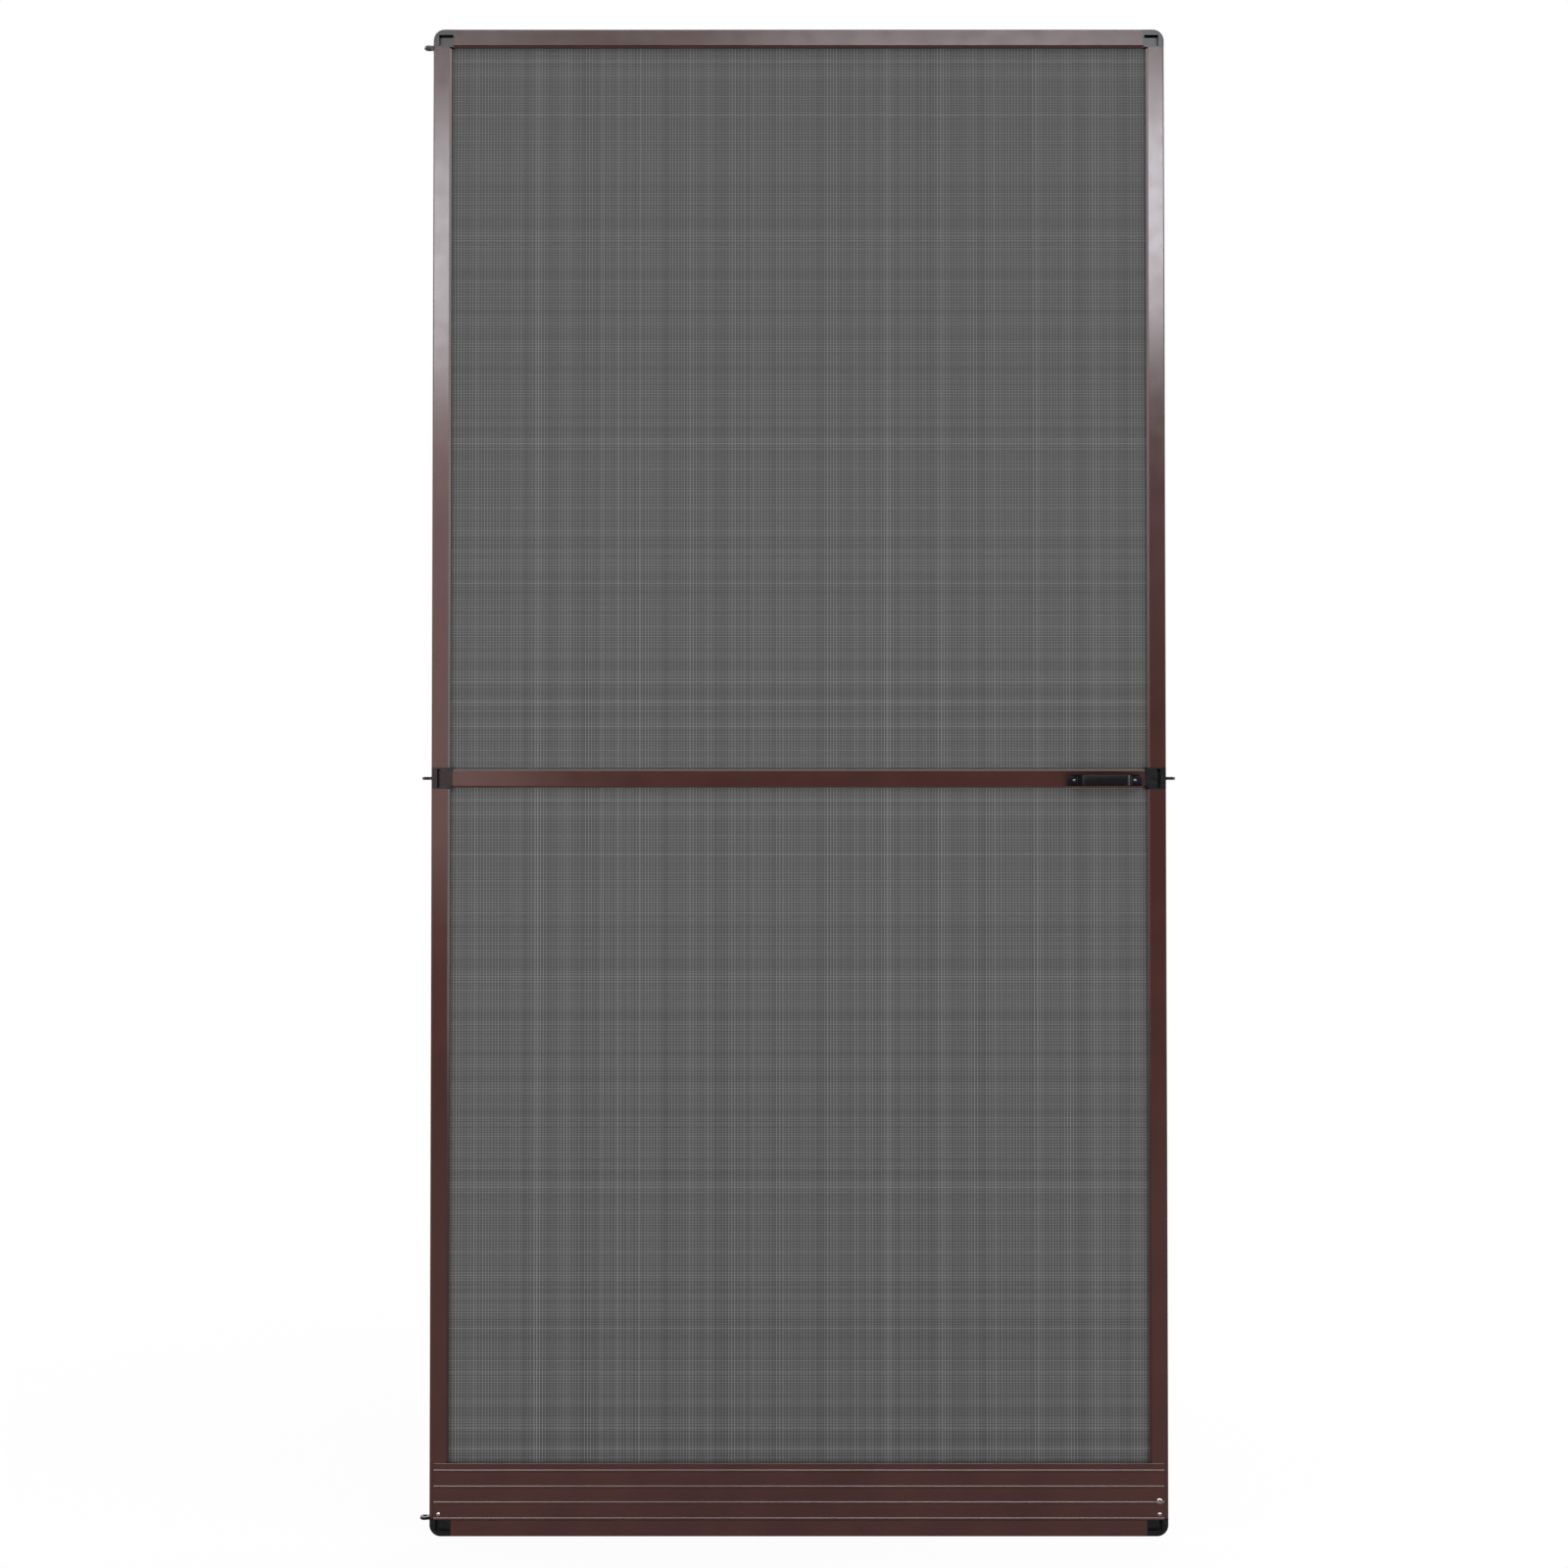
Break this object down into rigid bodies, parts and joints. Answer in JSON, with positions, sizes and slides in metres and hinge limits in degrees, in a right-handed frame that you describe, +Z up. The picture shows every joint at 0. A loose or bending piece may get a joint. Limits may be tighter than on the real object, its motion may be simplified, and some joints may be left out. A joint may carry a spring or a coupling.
{
  "type": "hinged insect screen door",
  "caption": "Hinged insect screen door leaf: brown aluminium frame with moulded corner and tee connectors, mesh panels, ribbed kick plate, bow pull and hinge eyes.",
  "frame": {"origin": "on the hinge axis, at the underside of the lowest hinge eye", "axes": "+X from the hinge side to the latch side, +Y from the front with the pull to the back, +Z up along the hinge axis"},
  "size_m": [1.2, 0.037, 2.4],
  "materials": {
    "frame": "satin brown powder coat on extruded aluminium",
    "connector": "moulded black plastic, lightly grained",
    "mesh": "woven fibreglass yarn with a grey vinyl coat",
    "spline": "soft black rubber cord",
    "handle": "moulded black plastic with a soft gloss",
    "rivet": "bright aluminium rivet head",
    "screw": "zinc plated steel"
  },
  "bodies": {
    "root": {"bottom_rail": "frame", "top_rail": "frame", "mid_rail": "frame", "stile_hinge_lower": "frame", "stile_hinge_upper": "frame", "stile_latch_lower": "frame", "stile_latch_upper": "frame", "corner_bottom_hinge": "connector", "corner_top_hinge": "connector", "corner_bottom_latch": "connector", "corner_top_latch": "connector", "tee_hinge": "connector", "tee_latch": "connector", "mesh_lower": "mesh", "mesh_upper": "mesh", "spline_lower": "spline", "spline_upper": "spline", "kick_plate": "frame", "pull_handle": "handle", "kick_rivet_hinge": "rivet", "kick_rivet_latch": "rivet", "kick_screw_latch": "screw", "pull_screw_inner": "screw", "pull_screw_outer": "screw"}
  },
  "joints": []
}
